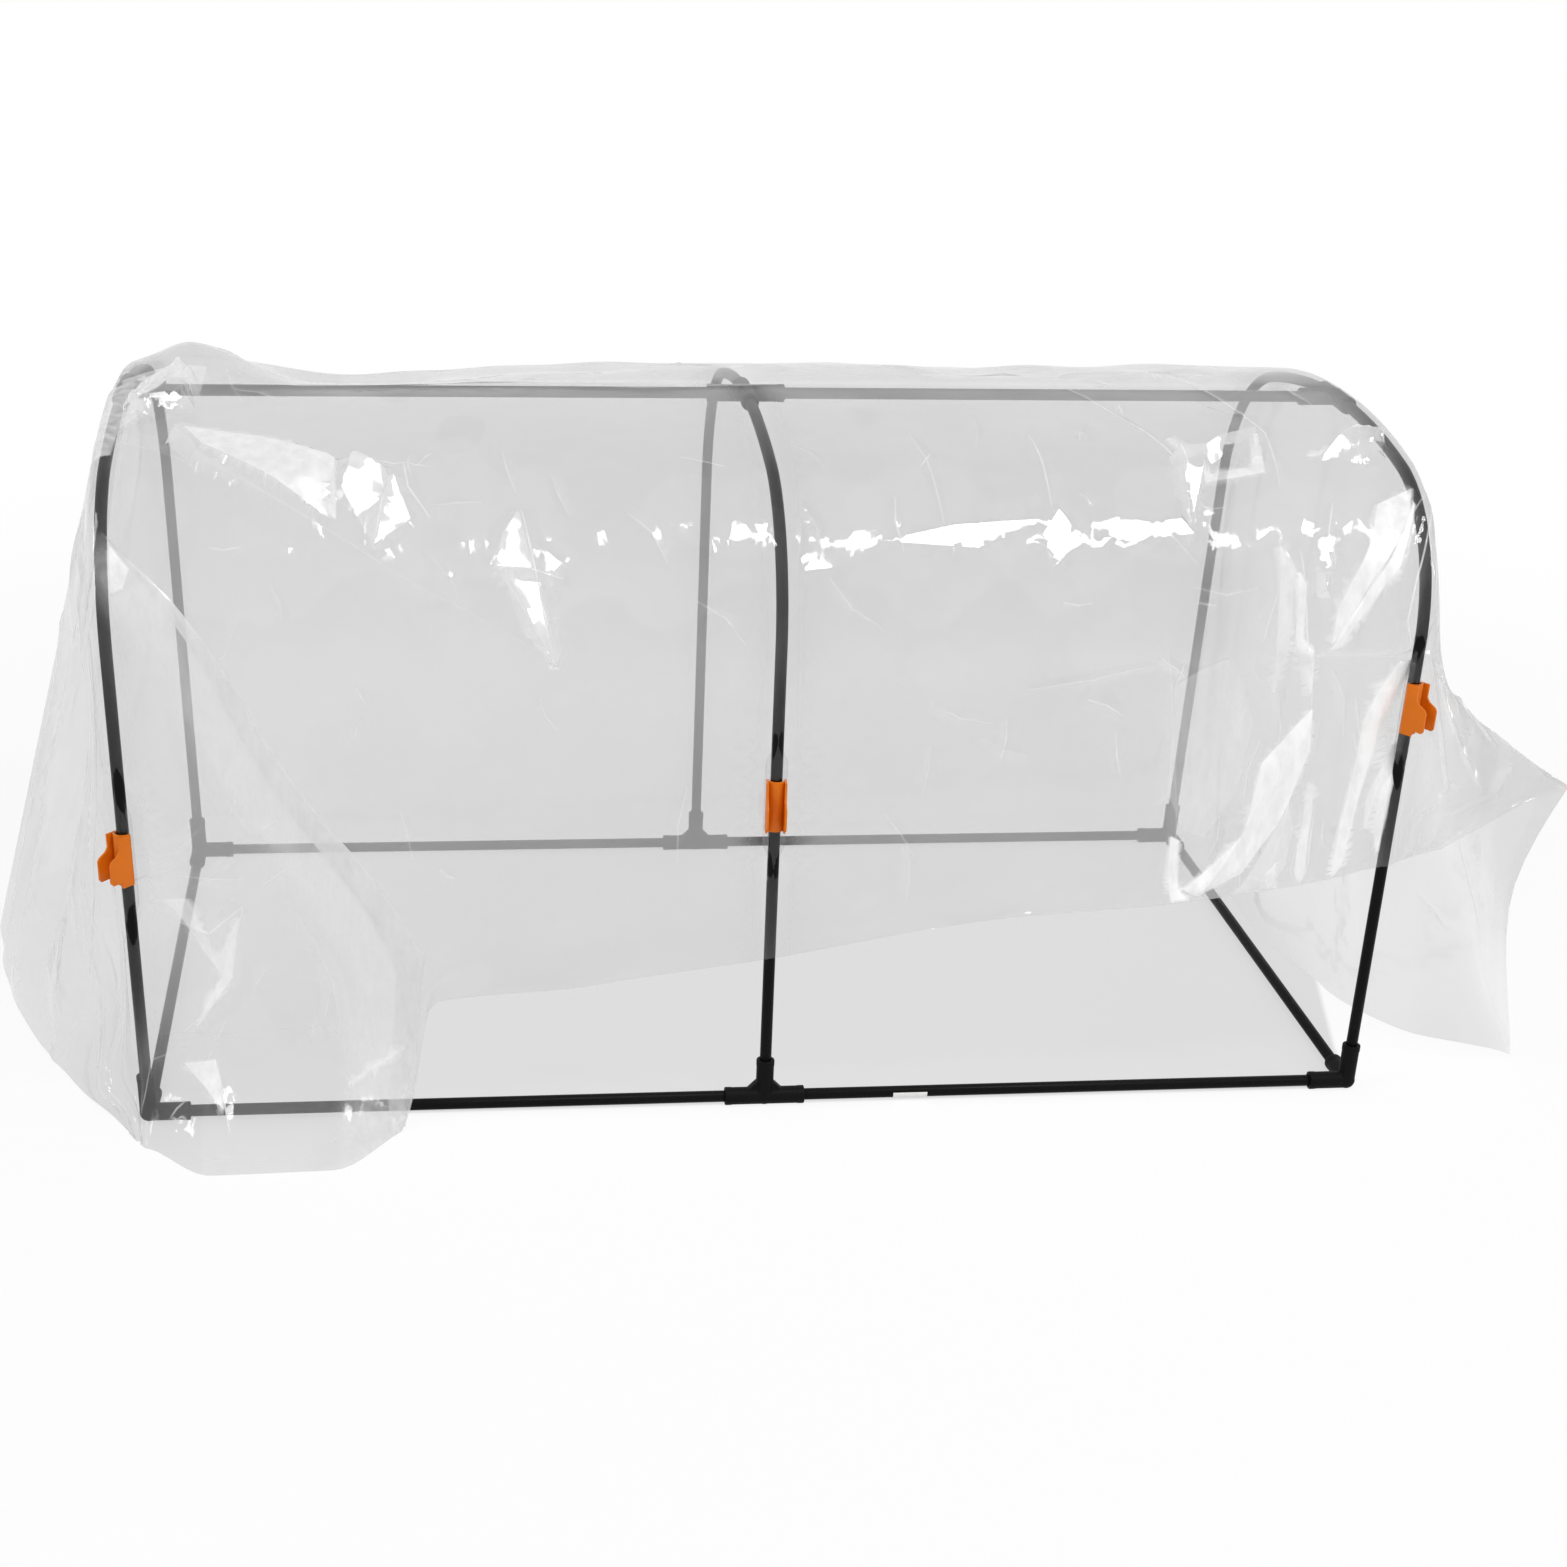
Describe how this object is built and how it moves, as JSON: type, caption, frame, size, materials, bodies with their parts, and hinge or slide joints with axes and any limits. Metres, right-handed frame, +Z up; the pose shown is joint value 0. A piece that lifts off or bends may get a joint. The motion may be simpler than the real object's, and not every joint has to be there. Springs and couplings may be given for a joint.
{
  "type": "hoop row cover",
  "caption": "Low growing tunnel: black tube hoops on a base frame with a ridge pole, under one clear film held by orange snap clips.",
  "frame": {"origin": "on the ground at the middle of the base frame, which is the middle of the object's outline seen from above", "axes": "+X along the row to the right, +Y to the back, +Z up"},
  "size_m": [1.5462, 0.856, 0.6521],
  "materials": {
    "black_plastic": "satin moulded",
    "black_tube": "satin plastic coat",
    "orange_plastic": "satin moulded",
    "clear_film": "clear, creased",
    "white_label": "matte"
  },
  "bodies": {
    "frame": {"corner_front_left": "black_plastic", "corner_front_right": "black_plastic", "corner_rear_left": "black_plastic", "corner_rear_right": "black_plastic", "tee_front": "black_plastic", "tee_rear": "black_plastic", "ridge_tee_left": "black_plastic", "ridge_tee_right": "black_plastic", "ridge_cross": "black_plastic", "rail_front_left": "black_tube", "rail_front_right": "black_tube", "rail_rear_left": "black_tube", "rail_rear_right": "black_tube", "rail_end_left": "black_tube", "rail_end_right": "black_tube", "ridge_pole_left": "black_tube", "ridge_pole_right": "black_tube", "hoop_left_front": "black_tube", "hoop_left_rear": "black_tube", "hoop_middle_front": "black_tube", "hoop_middle_rear": "black_tube", "hoop_right_front": "black_tube", "hoop_right_rear": "black_tube", "rail_label": "white_label", "film_cover": "clear_film"},
    "clip_left": {"clip_left": "orange_plastic"},
    "clip_middle": {"clip_middle": "orange_plastic"},
    "clip_right": {"clip_right": "orange_plastic"}
  },
  "joints": [
    {"name": "clip_left_slide", "type": "slide", "parent": "frame", "child": "clip_left", "axis": [-0.0297, 0.0181, 0.9994], "range_m": [-0.01, 0.01]},
    {"name": "clip_middle_slide", "type": "slide", "parent": "frame", "child": "clip_middle", "axis": [0, 0.0182, 0.9998], "range_m": [-0.01, 0.01]},
    {"name": "clip_right_slide", "type": "slide", "parent": "frame", "child": "clip_right", "axis": [0.0364, 0.0181, 0.9992], "range_m": [-0.01, 0.01]}
  ]
}
